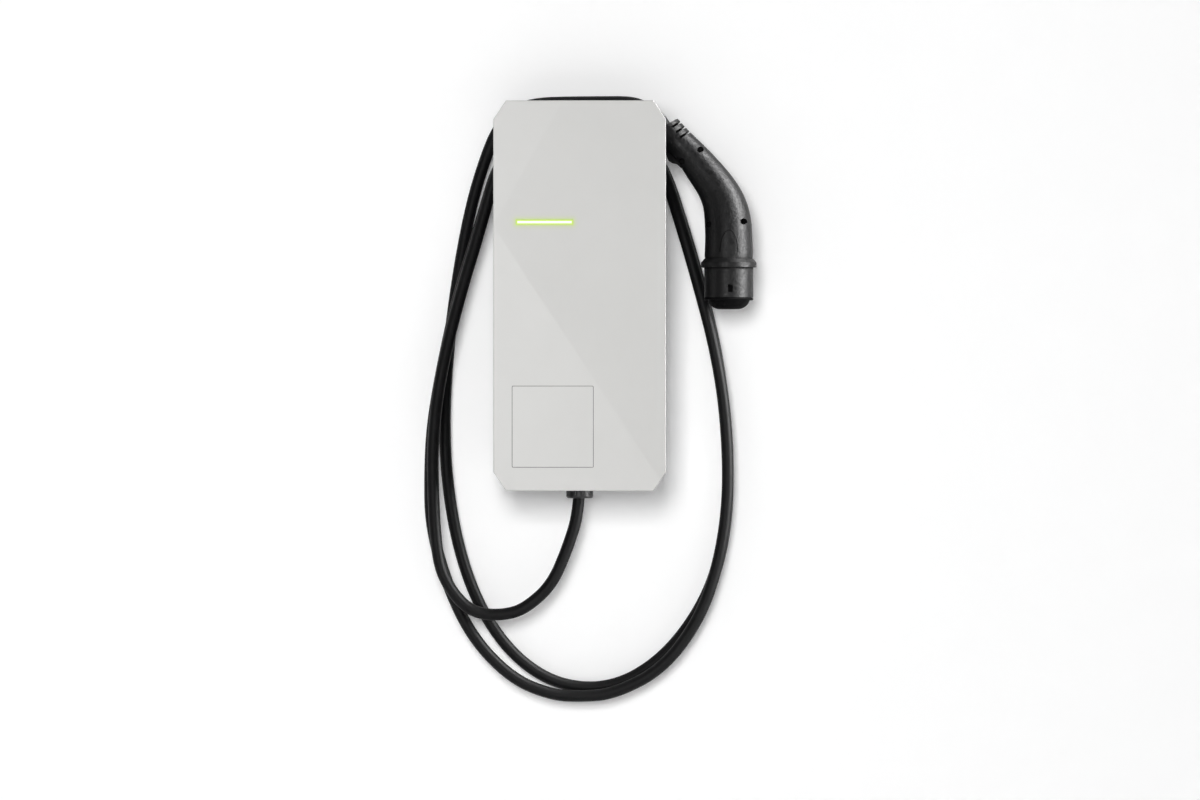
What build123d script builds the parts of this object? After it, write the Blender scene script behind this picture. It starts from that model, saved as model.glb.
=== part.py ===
from build123d import *
import os
from math import asin, cos, degrees, hypot, pi, radians, sin, sqrt, tan

# Wall-mounted vehicle charger: a faceted snap-on front cover, a spool-shaped housing behind it
# that the charging cable is wound over, and a curved connector hanging from the cable's end.
# Millimetres. +Z is up, the front faces -Y, and the wall is the plane Y = 0.
# The origin is the middle of the four wall screws. "Depth" is the distance from the wall.
os.makedirs("parts", exist_ok=True)

# Overall sizes
cover_width = 222.0
cover_height = 502.0
body_depth = 118.0
cut_x = 16.0                # corner cut along the width
cut_z = 24.0                # corner cut along the height
skirt_depth = 44.0          # front to back length of the front cover
seam = 0.3                  # gap between the cover's back edge and the housing's front flange
cover_wall = 3.0
cover_edge = 1.5            # rounding of the cover's front edges
half_width = cover_width / 2
half_height = cover_height / 2

# The two sloped facets of the front
fold_drop = 161.5           # from the top edge down to where both fold lines meet the left edge
fold_run = 89.5             # from the left edge to where the upper fold line meets the top edge
fold_end_in = 10.0          # where the lower fold line runs out, from the right edge
fold_end_up = 18.0          # and from the bottom edge
upper_slope = 3.4           # degrees
lower_slope = 2.3

# Light bar and square panel
light_from_side = 65.9      # from the left edge to the bar's middle
light_from_top = 156.6
light_x = light_from_side - half_width
light_z = half_height - light_from_top
light_width = 72.0
light_height = 5.0
light_fit = 0.2
light_lip = 4.0             # flange behind the slot, each side
panel_from_side = 76.4
panel_from_bottom = 82.5
panel_x = panel_from_side - half_width
panel_z = panel_from_bottom - half_height
panel_size = 105.0
panel_gap = 0.6
panel_thickness = 2.0
panel_ledge = 4.0           # how far the panel's seat reaches under its edge
seat_thickness = 2.4

# Wall plate
plate_thickness = 4.0
plate_inset = 4.0           # plate edge inside the cover's outline
wall_hole_inset_x = 36.0    # from the cover's edges
wall_hole_inset_z = 51.0
wall_hole_dx = cover_width - 2 * wall_hole_inset_x
wall_hole_dz = cover_height - 2 * wall_hole_inset_z
wall_hole_radius = 3.1
wall_head_radius = 6.0

# Spool-shaped housing
housing_inset = 4.0         # the housing's sides and floor, inside the cover's outline
saddle_drop = 28.5          # from the cover's top edge down to the saddle's top
saddle_ease = 4.0           # the saddle's radius is this much more than half the housing's width
housing_half_width = half_width - housing_inset
housing_bottom = housing_inset - half_height
saddle_radius = housing_half_width + saddle_ease
saddle_z = half_height - saddle_drop - saddle_radius
housing_wall = 3.0
flange_thickness = 3.0
flange_inset = 0.5
rim_width = 14.0
rim_height = 10.0
rim_screw_inset = 6.0
rim_screw_low = 47.0        # from the housing's floor up to the lowest side screws
rim_screw_high = 41.5       # from the saddle's centre down to the highest side screws
rim_screw_rows = 4
floor_screw_inset = 55.0
saddle_screw_angle = 40.0
plate_screw_inset = 13.0
plate_screw_low = 23.0
plate_screw_high = 38.5
seal_inset = 9.2
seal_width = 2.6
seal_height = 2.2
fit = 0.15                  # general clearance between seated pieces

# Cover clips
clip_inset_x = 26.0
clip_inset_z = 51.0
clip_dx = cover_width - 2 * clip_inset_x
clip_dz = cover_height - 2 * clip_inset_z
clip_ball_radius = 4.0
clip_neck_radius = 2.6
clip_length = 15.0
clip_base_radius = 6.0
clip_base_height = 2.0
socket_radius = 7.0
socket_gap = 0.25
socket_depth = 7.0          # how far the ball sits inside its socket
locating_rim_height = 8.0
locating_rim_wall = 2.2
locating_fit = 0.4

# Screws
m4_hole_radius = 2.15
m4_shank_radius = 2.0
m4_head_radius = 3.6
m4_head_height = 2.6
m4_length = 12.0
m3_hole_radius = 1.6
m3_shank_radius = 1.45
m3_head_radius = 2.8
m3_head_height = 2.0
m3_length = 7.0

# Electronics
board_side_gap = 22.0       # from the housing's sides
board_low_gap = 62.0        # from the housing's floor
board_high_gap = 6.5        # below the saddle's centre
board_width = 2 * (housing_half_width - board_side_gap)
board_height = saddle_z - board_high_gap - housing_bottom - board_low_gap
board_z = housing_bottom + board_low_gap + board_height / 2
relay_from_side = 33.0      # centre of the outer relay, from the board's right edge
relay_pitch = 44.0
relay_below_terminals = 53.0
sensor_from_side = 39.0     # from the board's left edge
sensor_below_relays = 20.0
power_from_side = 43.0      # from the board's left edge
power_above_terminals = 90.0
radio_from_side = 40.0      # from the board's right edge
radio_above_terminals = 95.0
board_screw_inset = 8.0
small_screw_inset = 5.0
board_thickness = 1.6
standoff_height = 8.0
standoff_radius = 4.0
small_standoff_radius = 3.4
small_standoff_height = 6.0
reader_size = 80.0
status_board_width = 86.0
status_board_height = 18.0
led_count = 8
led_size = 3.0

# Supply entry through the back
entry_x = 0.0
entry_drop = 91.0           # below the cover's top edge
entry_z = half_height - entry_drop
entry_bore_radius = 10.0
entry_sleeve_radius = 14.0
entry_flange_radius = 18.0
entry_flange = 2.5

# Charging cable and its gland
cable_radius = 7.7
cable_fit = 0.25
gland_x = 0.0
gland_depth = 45.0
gland_thread_radius = 12.4
gland_hex = 30.0            # across flats
gland_collar = 4.6
gland_spigot_radius = 13.6
gland_spigot = 5.4
gland_inside = 14.0         # how far the thread reaches into the housing
gland_top = housing_bottom + gland_inside
nut_radius = 17.5
nut_height = 9.7
nut_gap = 0.3
nut_rounding = 3.2
locknut_height = 4.5
seal_sleeve_radius = 10.4

# Connector
connector_drop = 249.8      # from the cover's top edge down to the zero of the connector's heights
nose_beyond = 81.9          # from the cover's right edge to the axis of the hanging nose
nose_depth = 60.0           # that axis, from the wall
tail_beyond = 1.0           # from the cover's right edge to the middle of the tail's end
tail_depth = 49.0
tail_z = 218.2
nose_x = half_width + nose_beyond
tail_x = half_width + tail_beyond
connector_z = half_height - connector_drop
tail_angle = 54.0           # degrees below the horizontal
shell_wall = 2.6
shell_end_z = 47.5
collar_radius = 36.0
collar_height = 11.2
nose_radius = 31.8
nose_wall = 3.0
nose_end_z = -2.8
spigot_height = 10.0
carrier_radius = 23.6
carrier_top_z = 40.0
power_pitch = 16.0
power_sleeve_radius = 4.2
power_bore_radius = 3.05
signal_sleeve_radius = 2.6
signal_bore_radius = 1.55
contact_recess = 2.0
latch_width = 6.4
latch_height = 10.0
latch_x = 5.6
latch_z = 8.8
slot_width = 3.2            # relief slots across the tail
slot_reach = 14.0
arch_foot = (3.4, 55.7)     # middle of the arch-shaped groove's feet
arch_half_width = 11.3
arch_height = 28.1
arch_line = 1.3
groove_depth = 0.7
screw_well_radius = 4.0
screw_post_radius = 5.0
bushing_radius = 14.6
bushing_length = 27.0
bushing_floor = 3.0

# Protective cap on the nose
cap_gap = 0.4
cap_bead = 3.2
cap_dome_radius = 27.1
cap_middle_radius = 24.0    # of the dome, halfway down
cap_tip_radius = 13.0
cap_dome_height = 11.4
cap_ring_wall = 3.4
cap_ring_length = 14.0
cap_fit = 0.3

# Values that follow from those above
cover_back = body_depth - skirt_depth
flange_front = cover_back - seam
flange_back = flange_front - flange_thickness
cover_inside = body_depth - cover_wall
board_depth = plate_thickness + housing_wall + standoff_height
board_face = board_depth + board_thickness
tail_reach = sqrt((nose_x - tail_x) ** 2 + (nose_depth - tail_depth) ** 2)
connector_yaw = degrees(asin((nose_depth - tail_depth) / tail_reach))


def cut_corner_points(inset):
    """The eight corners of the cover's outline, each side moved in by inset."""
    diagonal = hypot(cut_x, cut_z)
    w = half_width - inset
    h = half_height - inset
    x = w - (cut_x + inset * ((diagonal - cut_x) / cut_z - 1))
    z = h - (cut_z + inset * ((diagonal - cut_z) / cut_x - 1))
    return [(x, h), (w, z), (w, -z), (x, -h), (-x, -h), (-w, -z), (-w, z), (-x, h)]


def facet_plane(start, end, slope, sink):
    """The face beyond a fold line of the front, tilted back by slope and sunk by sink."""
    fold = Vector(end[0] - start[0], 0, end[1] - start[1]).normalized()
    outward = fold.cross(Vector(0, 1, 0))
    normal = outward * sin(radians(slope)) - Vector(0, 1, 0) * cos(radians(slope))
    origin = Vector(start[0], -body_depth, start[1]) - normal * sink
    return Plane(origin=origin, x_dir=fold, z_dir=normal)


fold_meeting = (-half_width, half_height - fold_drop)
upper_fold = (fold_meeting, (fold_run - half_width, half_height))
lower_fold = ((half_width - fold_end_in, fold_end_up - half_height), fold_meeting)

# Front cover: a faceted shell, open at the back, with clip sockets and a panel seat
with BuildPart() as cover_cavity:
    with BuildSketch(Plane.XZ.offset(cover_back - 1)):
        with BuildLine():
            Polyline(*cut_corner_points(cover_wall), close=True)
        make_face()
    extrude(amount=skirt_depth - cover_wall + 1)
    split(bisect_by=facet_plane(*upper_fold, upper_slope, cover_wall), keep=Keep.BOTTOM)
    split(bisect_by=facet_plane(*lower_fold, lower_slope, cover_wall), keep=Keep.BOTTOM)
    # the sockets stay solid, from the clips to the face
    with BuildSketch(Plane.XZ.offset(flange_front + clip_length - socket_depth)):
        with GridLocations(clip_dx, clip_dz, 2, 2):
            Circle(socket_radius)
    extrude(amount=skirt_depth, mode=Mode.SUBTRACT)
    # so does the seat behind the square panel
    seat_back = facet_plane(*lower_fold, lower_slope, cover_wall + seat_thickness)
    with BuildSketch(Plane.XZ.offset(cover_back + skirt_depth / 2)):
        with Locations((panel_x, panel_z)):
            Rectangle(panel_size + 2 * panel_ledge, panel_size + 2 * panel_ledge)
    seat_block = extrude(amount=skirt_depth, mode=Mode.PRIVATE)
    seat_block = split(seat_block, bisect_by=seat_back, mode=Mode.PRIVATE)
    add(seat_block, mode=Mode.SUBTRACT)

with BuildPart() as panel_pocket:
    with BuildSketch(Plane.XZ.offset(cover_back + skirt_depth / 2)):
        with Locations((panel_x, panel_z)):
            RectangleRounded(panel_size, panel_size, 1.5)
    extrude(amount=skirt_depth)
    split(bisect_by=facet_plane(*lower_fold, lower_slope, panel_thickness + fit))

with BuildPart() as front_cover:
    with BuildSketch(Plane.XZ.offset(cover_back)):
        with BuildLine():
            Polyline(*cut_corner_points(0), close=True)
        make_face()
    extrude(amount=skirt_depth)
    split(bisect_by=facet_plane(*upper_fold, upper_slope, 0), keep=Keep.BOTTOM)
    split(bisect_by=facet_plane(*lower_fold, lower_slope, 0), keep=Keep.BOTTOM)
    side_faces = front_cover.faces().filter_by(lambda face: abs(face.normal_at().Y) < 0.02)
    front_rim = side_faces.edges().filter_by(lambda edge: edge.center().Y < skirt_depth / 4 - body_depth)
    fillet(front_rim, radius=cover_edge)
    add(cover_cavity.part, mode=Mode.SUBTRACT)
    add(panel_pocket.part, mode=Mode.SUBTRACT)
    with BuildSketch(Plane.XZ.offset(cover_back)):
        with Locations((light_x, light_z)):
            Rectangle(light_width, light_height)
    extrude(amount=skirt_depth, mode=Mode.SUBTRACT)
    with BuildSketch(Plane.XZ.offset(cover_back)):
        with GridLocations(clip_dx, clip_dz, 2, 2):
            Circle(clip_ball_radius + socket_gap)
    extrude(amount=flange_front + clip_length + 3 - cover_back, mode=Mode.SUBTRACT)
front_cover.part.label = "front_cover"
export_step(front_cover.part, "parts/front_cover.step")

# Square blanking panel, flush in its pocket
with BuildPart() as blanking_panel:
    with BuildSketch(Plane.XZ.offset(cover_back + skirt_depth / 2)):
        with Locations((panel_x, panel_z)):
            RectangleRounded(panel_size - 2 * panel_gap, panel_size - 2 * panel_gap, 1.0)
    extrude(amount=skirt_depth)
    split(bisect_by=facet_plane(*lower_fold, lower_slope, panel_thickness))
    split(bisect_by=facet_plane(*lower_fold, lower_slope, 0), keep=Keep.BOTTOM)
blanking_panel.part.label = "blanking_panel"
export_step(blanking_panel.part, "parts/blanking_panel.step")

# Light guide: the bar in the slot, a flange behind the wall and a blade to the lamps
with BuildPart() as light_guide:
    with BuildSketch(Plane.XZ.offset(cover_inside - fit)):
        with Locations((light_x, light_z)):
            Rectangle(light_width - 2 * light_fit, light_height - 2 * light_fit)
    extrude(amount=cover_wall + fit)
    with BuildSketch(Plane.XZ.offset(cover_inside - fit)):
        with Locations((light_x, light_z)):
            Rectangle(light_width + 2 * light_lip, light_height + 2 * light_lip)
    extrude(amount=-2)
    with BuildSketch(Plane.XZ.offset(cover_inside - fit - 2)):
        with Locations((light_x, light_z)):
            Rectangle(light_width - 4, light_height - 1.4)
    extrude(amount=-(cover_inside - flange_front - small_standoff_height - board_thickness - 6), taper=1)
light_guide.part.label = "light_guide"
export_step(light_guide.part, "parts/light_guide.step")

# Housing outline: straight sides, cut lower corners and the curved saddle on top
shoulder_z = saddle_z + sqrt(saddle_radius ** 2 - housing_half_width ** 2)
with BuildSketch() as housing_profile:
    with BuildLine():
        Polyline(
            (-housing_half_width, shoulder_z),
            (-housing_half_width, housing_bottom + cut_z),
            (cut_x - housing_half_width, housing_bottom),
            (housing_half_width - cut_x, housing_bottom),
            (housing_half_width, housing_bottom + cut_z),
            (housing_half_width, shoulder_z),
        )
        ThreePointArc(
            (housing_half_width, shoulder_z),
            (0, saddle_z + saddle_radius),
            (-housing_half_width, shoulder_z),
        )
    make_face()

# screws round the rim: sides, saddle and floor
rim_side_x = housing_half_width - rim_screw_inset
rim_saddle = saddle_radius - rim_screw_inset
rim_low_z = housing_bottom + rim_screw_low
rim_pitch = (saddle_z - rim_screw_high - rim_low_z) / (rim_screw_rows - 1)
sides = (-1, 1)
rim_screws = []
for side in sides:
    rim_screws += [(side * rim_side_x, rim_low_z + row * rim_pitch) for row in range(rim_screw_rows)]
for angle in (-saddle_screw_angle, 0, saddle_screw_angle):
    rim_screws += [(rim_saddle * sin(radians(angle)), saddle_z + rim_saddle * cos(radians(angle)))]
floor_screw_x = housing_half_width - floor_screw_inset
rim_screws += [(side * floor_screw_x, housing_bottom + rim_screw_inset) for side in sides]
board_screw_x = board_width / 2 - board_screw_inset
board_screw_z = board_height / 2 - board_screw_inset
board_screw_rows = [board_z + row * board_screw_z for row in (-1, 0, 1)]
board_screws_at = [(side * board_screw_x, z) for side in sides for z in board_screw_rows]
plate_screw_x = housing_half_width - plate_screw_inset
plate_screw_rows = (housing_bottom + plate_screw_low, saddle_z + plate_screw_high)
plate_screws_at = [(side * plate_screw_x, z) for side in sides for z in plate_screw_rows]

with BuildPart() as base_housing:
    with BuildSketch(Plane.XZ.offset(plate_thickness)):
        add(housing_profile.sketch)
    extrude(amount=flange_back - plate_thickness)
    fillet(base_housing.edges().filter_by(Axis.Y), radius=3)
    with BuildSketch(Plane.XZ.offset(plate_thickness + housing_wall)):
        add(housing_profile.sketch)
        offset(amount=-housing_wall, mode=Mode.REPLACE)
    extrude(amount=flange_back - plate_thickness - housing_wall - rim_height, mode=Mode.SUBTRACT)
    with BuildSketch(Plane.XZ.offset(flange_back - rim_height)):
        add(housing_profile.sketch)
        offset(amount=-rim_width, mode=Mode.REPLACE)
    extrude(amount=rim_height, mode=Mode.SUBTRACT)
    # seal groove in the rim
    with BuildSketch(Plane.XZ.offset(flange_back)):
        add(housing_profile.sketch)
        offset(amount=-seal_inset, mode=Mode.REPLACE)
        groove_edge = offset(housing_profile.sketch, amount=-seal_inset - seal_width, mode=Mode.PRIVATE)
        add(groove_edge, mode=Mode.SUBTRACT)
    extrude(amount=-seal_height, mode=Mode.SUBTRACT)
    with BuildSketch(Plane.XZ.offset(flange_back)):
        with Locations(*rim_screws):
            Circle(m4_hole_radius)
    extrude(amount=-(m4_length - flange_thickness + 0.5), mode=Mode.SUBTRACT)
    # board standoffs on the back wall
    with BuildSketch(Plane.XZ.offset(plate_thickness + housing_wall)):
        with Locations(*board_screws_at):
            Circle(standoff_radius)
    extrude(amount=standoff_height)
    with BuildSketch(Plane.XZ.offset(board_depth)):
        with Locations(*board_screws_at):
            Circle(m3_hole_radius)
    extrude(amount=-(m3_length - board_thickness + 0.5), mode=Mode.SUBTRACT)
    # holes for the plate screws, the supply entry and the cable gland
    with BuildSketch(Plane.XZ.offset(plate_thickness)):
        with Locations(*plate_screws_at):
            Circle(m4_hole_radius)
        with Locations((entry_x, entry_z)):
            Circle(entry_sleeve_radius + fit)
    extrude(amount=housing_wall, mode=Mode.SUBTRACT)
    with BuildSketch(Plane.XY.offset(housing_bottom)):
        with Locations((gland_x, -gland_depth)):
            Circle(gland_thread_radius + fit)
    extrude(amount=housing_wall, mode=Mode.SUBTRACT)
base_housing.part.label = "base_housing"
export_step(base_housing.part, "parts/base_housing.step")

# Seal in the rim's groove
with BuildPart() as housing_seal:
    with BuildSketch(Plane.XZ.offset(flange_back)):
        add(housing_profile.sketch)
        offset(amount=-seal_inset - fit, mode=Mode.REPLACE)
        inner_edge = seal_inset + seal_width - fit
        add(offset(housing_profile.sketch, amount=-inner_edge, mode=Mode.PRIVATE), mode=Mode.SUBTRACT)
    extrude(amount=-seal_height)
housing_seal.part.label = "housing_seal"
export_step(housing_seal.part, "parts/housing_seal.step")

# Wall plate: carries the housing, and keeps the wound cable off the wall
with BuildPart() as wall_plate:
    with BuildSketch(Plane.XZ):
        with BuildLine():
            Polyline(*cut_corner_points(plate_inset), close=True)
        make_face()
    extrude(amount=plate_thickness)
    fillet(wall_plate.faces().sort_by(Axis.Y)[0].edges(), radius=1.2)
    with Locations(Plane.XZ.offset(plate_thickness)):
        with GridLocations(wall_hole_dx, wall_hole_dz, 2, 2):
            CounterSinkHole(radius=wall_hole_radius, counter_sink_radius=wall_head_radius)
        with Locations(*plate_screws_at):
            Hole(radius=m4_hole_radius)
        with Locations((entry_x, entry_z)):
            Hole(radius=entry_flange_radius + 1)
wall_plate.part.label = "wall_plate"
export_step(wall_plate.part, "parts/wall_plate.step")

# Screws from inside the housing into the wall plate
with BuildPart() as plate_screws:
    with BuildSketch(Plane.XZ.offset(plate_thickness + housing_wall)):
        with Locations(*plate_screws_at):
            Circle(m4_head_radius)
    extrude(amount=m4_head_height)
    fillet(plate_screws.faces().sort_by(Axis.Y)[:4].edges(), radius=0.8)
    with BuildSketch(Plane.XZ.offset(plate_thickness + housing_wall)):
        with Locations(*plate_screws_at):
            Circle(m4_shank_radius)
    extrude(amount=-(plate_thickness + housing_wall - 0.5))
plate_screws.part.label = "plate_screws"
export_step(plate_screws.part, "parts/plate_screws.step")

# Front flange: closes the housing, keeps the cable on the saddle and carries the cover
with BuildPart() as front_flange:
    with BuildSketch(Plane.XZ.offset(flange_back)):
        with BuildLine():
            Polyline(*cut_corner_points(flange_inset), close=True)
        make_face()
    extrude(amount=flange_thickness)
    fillet(front_flange.faces().sort_by(Axis.Y)[-1].edges(), radius=1.2)
    # the rim that the cover's skirt slides over
    with BuildSketch(Plane.XZ.offset(flange_front)):
        with BuildLine():
            Polyline(*cut_corner_points(cover_wall + locating_fit), close=True)
        make_face()
        with BuildLine():
            Polyline(*cut_corner_points(cover_wall + locating_fit + locating_rim_wall), close=True)
        make_face(mode=Mode.SUBTRACT)
    extrude(amount=locating_rim_height)
    # standoffs of the two small boards
    reader_step = reader_size / 2 - small_screw_inset
    reader_at = [(panel_x + sx * reader_step, panel_z + sz * reader_step) for sx in sides for sz in sides]
    status_step = status_board_width / 2 - small_screw_inset
    status_at = [(light_x + side * status_step, light_z) for side in sides]
    with BuildSketch(Plane.XZ.offset(flange_front)):
        with Locations(*reader_at, *status_at):
            Circle(small_standoff_radius)
    extrude(amount=small_standoff_height)
    with BuildSketch(Plane.XZ.offset(flange_front + small_standoff_height)):
        with Locations(*reader_at, *status_at):
            Circle(m3_hole_radius)
    extrude(amount=-(m3_length - board_thickness + 0.3), mode=Mode.SUBTRACT)
    with Locations(Plane.XZ.offset(flange_front)):
        with Locations(*rim_screws):
            Hole(radius=m4_hole_radius)
        with GridLocations(clip_dx, clip_dz, 2, 2):
            Hole(radius=clip_neck_radius + 0.1)
front_flange.part.label = "front_flange"
export_step(front_flange.part, "parts/front_flange.step")

# Pan-head screws round the flange
with BuildPart() as flange_screws:
    with BuildSketch(Plane.XZ.offset(flange_front)):
        with Locations(*rim_screws):
            Circle(m4_head_radius)
    extrude(amount=m4_head_height)
    fillet(flange_screws.faces().sort_by(Axis.Y)[: len(rim_screws)].edges(), radius=0.8)
    with BuildSketch(Plane.XZ.offset(flange_front)):
        with Locations(*rim_screws):
            Circle(m4_shank_radius)
    extrude(amount=-m4_length)
flange_screws.part.label = "flange_screws"
export_step(flange_screws.part, "parts/flange_screws.step")

# Ball studs that the cover snaps on
with BuildPart() as cover_clips:
    with BuildSketch(Plane.XZ.offset(flange_front)):
        with GridLocations(clip_dx, clip_dz, 2, 2):
            Circle(clip_base_radius)
    extrude(amount=clip_base_height)
    with BuildSketch(Plane.XZ.offset(flange_front + clip_base_height)):
        with GridLocations(clip_dx, clip_dz, 2, 2):
            Circle(clip_neck_radius)
    extrude(amount=clip_length - clip_base_height - clip_ball_radius)
    with BuildSketch(Plane.XZ.offset(flange_front)):
        with GridLocations(clip_dx, clip_dz, 2, 2):
            Circle(clip_neck_radius)
    extrude(amount=-(flange_thickness - 0.2))
    with Locations(Plane.XZ.offset(flange_front + clip_length - clip_ball_radius)):
        with GridLocations(clip_dx, clip_dz, 2, 2):
            Sphere(clip_ball_radius)
cover_clips.part.label = "cover_clips"
export_step(cover_clips.part, "parts/cover_clips.step")

# Supply entry: a rubber grommet through the back wall
with BuildPart() as supply_grommet:
    with BuildSketch(Plane.XZ.offset(plate_thickness - entry_flange)):
        with Locations((entry_x, entry_z)):
            Circle(entry_flange_radius)
    extrude(amount=entry_flange)
    with BuildSketch(Plane.XZ.offset(plate_thickness)):
        with Locations((entry_x, entry_z)):
            Circle(entry_sleeve_radius)
    extrude(amount=housing_wall)
    with BuildSketch(Plane.XZ.offset(plate_thickness + housing_wall)):
        with Locations((entry_x, entry_z)):
            Circle(entry_flange_radius)
    extrude(amount=entry_flange)
    with Locations(Plane.XZ.offset(plate_thickness)):
        with Locations((entry_x, entry_z)):
            Hole(radius=entry_bore_radius)
supply_grommet.part.label = "supply_grommet"
export_step(supply_grommet.part, "parts/supply_grommet.step")

# Cable gland: threaded body, locknut inside, rubber sleeve and domed nut below
gland_plane = Plane(origin=(gland_x, -gland_depth, 0), x_dir=(1, 0, 0), z_dir=(0, -1, 0))
gland_axis = Axis((gland_x, -gland_depth, 0), (0, 0, 1))
spigot_bottom = housing_bottom - gland_collar - gland_spigot
nut_top = housing_bottom - gland_collar - nut_gap
nut_bottom = nut_top - nut_height

with BuildPart() as cable_gland_body:
    with BuildSketch(gland_plane):
        with BuildLine():
            Polyline(
                (cable_radius + cable_fit, gland_top),
                (gland_thread_radius, gland_top),
                (gland_thread_radius, housing_bottom - gland_collar),
                (gland_spigot_radius, housing_bottom - gland_collar),
                (gland_spigot_radius, spigot_bottom),
                (seal_sleeve_radius + fit, spigot_bottom),
                (seal_sleeve_radius + fit, housing_bottom),
                (cable_radius + cable_fit, housing_bottom),
                close=True,
            )
        make_face()
    revolve(axis=gland_axis)
    with BuildSketch(Plane.XY.offset(housing_bottom)):
        with Locations((gland_x, -gland_depth)):
            RegularPolygon(radius=gland_hex / 2, side_count=6, major_radius=False)
            Circle(gland_thread_radius, mode=Mode.SUBTRACT)
    extrude(amount=-gland_collar)
cable_gland_body.part.label = "cable_gland_body"
export_step(cable_gland_body.part, "parts/cable_gland_body.step")

with BuildPart() as gland_locknut:
    with BuildSketch(Plane.XY.offset(housing_bottom + housing_wall)):
        with Locations((gland_x, -gland_depth)):
            RegularPolygon(radius=gland_hex / 2, side_count=6, major_radius=False)
            Circle(gland_thread_radius + fit, mode=Mode.SUBTRACT)
    extrude(amount=locknut_height)
gland_locknut.part.label = "gland_locknut"
export_step(gland_locknut.part, "parts/gland_locknut.step")

with BuildPart() as gland_sleeve:
    with BuildSketch(Plane.XY.offset(housing_bottom - fit)):
        with Locations((gland_x, -gland_depth)):
            Circle(seal_sleeve_radius)
            Circle(cable_radius + cable_fit / 2, mode=Mode.SUBTRACT)
    extrude(amount=-(gland_collar + gland_spigot - fit))
gland_sleeve.part.label = "gland_sleeve"
export_step(gland_sleeve.part, "parts/gland_sleeve.step")

with BuildPart() as cable_gland_nut:
    with BuildSketch(gland_plane):
        with BuildLine():
            Polyline(
                (gland_spigot_radius + fit, nut_top),
                (nut_radius, nut_top),
                (nut_radius, nut_bottom),
                (cable_radius + 3 * cable_fit, nut_bottom),
                (cable_radius + 3 * cable_fit, spigot_bottom - fit),
                (gland_spigot_radius + fit, spigot_bottom - fit),
                close=True,
            )
        make_face()
    revolve(axis=gland_axis)
    lowest_rims = cable_gland_nut.edges().filter_by(GeomType.CIRCLE).group_by(Axis.Z)[0]
    fillet(lowest_rims.sort_by(SortBy.RADIUS)[-1], radius=nut_rounding)
    # shallow grips round the nut
    with BuildSketch(Plane.XY.offset(nut_top)):
        with Locations((gland_x, -gland_depth)):
            with PolarLocations(nut_radius + 0.9, 12, start_angle=15):
                Circle(1.6)
    extrude(amount=-(nut_height - nut_rounding), mode=Mode.SUBTRACT)
cable_gland_nut.part.label = "cable_gland_nut"
export_step(cable_gland_nut.part, "parts/cable_gland_nut.step")

# Main board with the relays, terminals and supplies that it carries
with BuildPart() as main_board:
    with BuildSketch(Plane.XZ.offset(board_depth)):
        with Locations((0, board_z)):
            RectangleRounded(board_width, board_height, 4)
        with Locations(*board_screws_at):
            Circle(m3_hole_radius, mode=Mode.SUBTRACT)
    extrude(amount=board_thickness)
main_board.part.label = "main_board"
export_step(main_board.part, "parts/main_board.step")

with BuildPart() as board_screws:
    with BuildSketch(Plane.XZ.offset(board_face)):
        with Locations(*board_screws_at):
            Circle(m3_head_radius)
    extrude(amount=m3_head_height)
    with BuildSketch(Plane.XZ.offset(board_face)):
        with Locations(*board_screws_at):
            Circle(m3_shank_radius)
    extrude(amount=-m3_length)
board_screws.part.label = "board_screws"
export_step(board_screws.part, "parts/board_screws.step")

supply_terminal_z = board_z + board_height / 2 - 22
with BuildPart() as supply_terminals:
    with BuildSketch(Plane.XZ.offset(board_face)):
        with Locations((0, supply_terminal_z)):
            RectangleRounded(100, 24, 1.5)
    extrude(amount=28)
    with Locations(Plane.XY.offset(supply_terminal_z + 12)):
        with Locations((0, -board_face - 9)):
            with GridLocations(19, 1, 5, 1):
                Hole(radius=4.2, depth=14)
    with Locations(Plane.XZ.offset(board_face + 28)):
        with Locations((0, supply_terminal_z)):
            with GridLocations(19, 1, 5, 1):
                Hole(radius=3.4, depth=10)
supply_terminals.part.label = "supply_terminals"
export_step(supply_terminals.part, "parts/supply_terminals.step")

outlet_terminal_z = board_z - board_height / 2 + 20
with BuildPart() as outlet_terminals:
    with BuildSketch(Plane.XZ.offset(board_face)):
        with Locations((0, outlet_terminal_z)):
            RectangleRounded(98, 20, 1.5)
    extrude(amount=22)
    with Locations(Plane.XY.offset(outlet_terminal_z - 10)):
        with Locations((0, -board_face - 8)):
            with GridLocations(13.4, 1, 7, 1):
                CounterBoreHole(radius=2.6, counter_bore_radius=3.6, counter_bore_depth=2, depth=12)
    with Locations(Plane.XZ.offset(board_face + 22)):
        with Locations((0, outlet_terminal_z)):
            with GridLocations(13.4, 1, 7, 1):
                Hole(radius=2.4, depth=8)
outlet_terminals.part.label = "outlet_terminals"
export_step(outlet_terminals.part, "parts/outlet_terminals.step")

# the relays stand under the supply terminals, towards the right edge of the board
relay_x = board_width / 2 - relay_from_side
relay_z = supply_terminal_z - relay_below_terminals
relays_at = [(relay_x - relay_pitch, relay_z), (relay_x, relay_z)]
with BuildPart() as charging_relays:
    with BuildSketch(Plane.XZ.offset(board_face)):
        with Locations(*relays_at):
            RectangleRounded(34, 52, 2)
    extrude(amount=30)
    fillet(charging_relays.faces().sort_by(Axis.Y)[:2].edges(), radius=1.2)
charging_relays.part.label = "charging_relays"
export_step(charging_relays.part, "parts/charging_relays.step")

with BuildPart() as leakage_sensor:
    with BuildSketch(Plane.XY.offset(relay_z - sensor_below_relays)):
        with Locations((sensor_from_side - board_width / 2, -board_face - 22)):
            RectangleRounded(46, 44, 5)
            Circle(12, mode=Mode.SUBTRACT)
    extrude(amount=22)
leakage_sensor.part.label = "leakage_sensor"
export_step(leakage_sensor.part, "parts/leakage_sensor.step")

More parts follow.
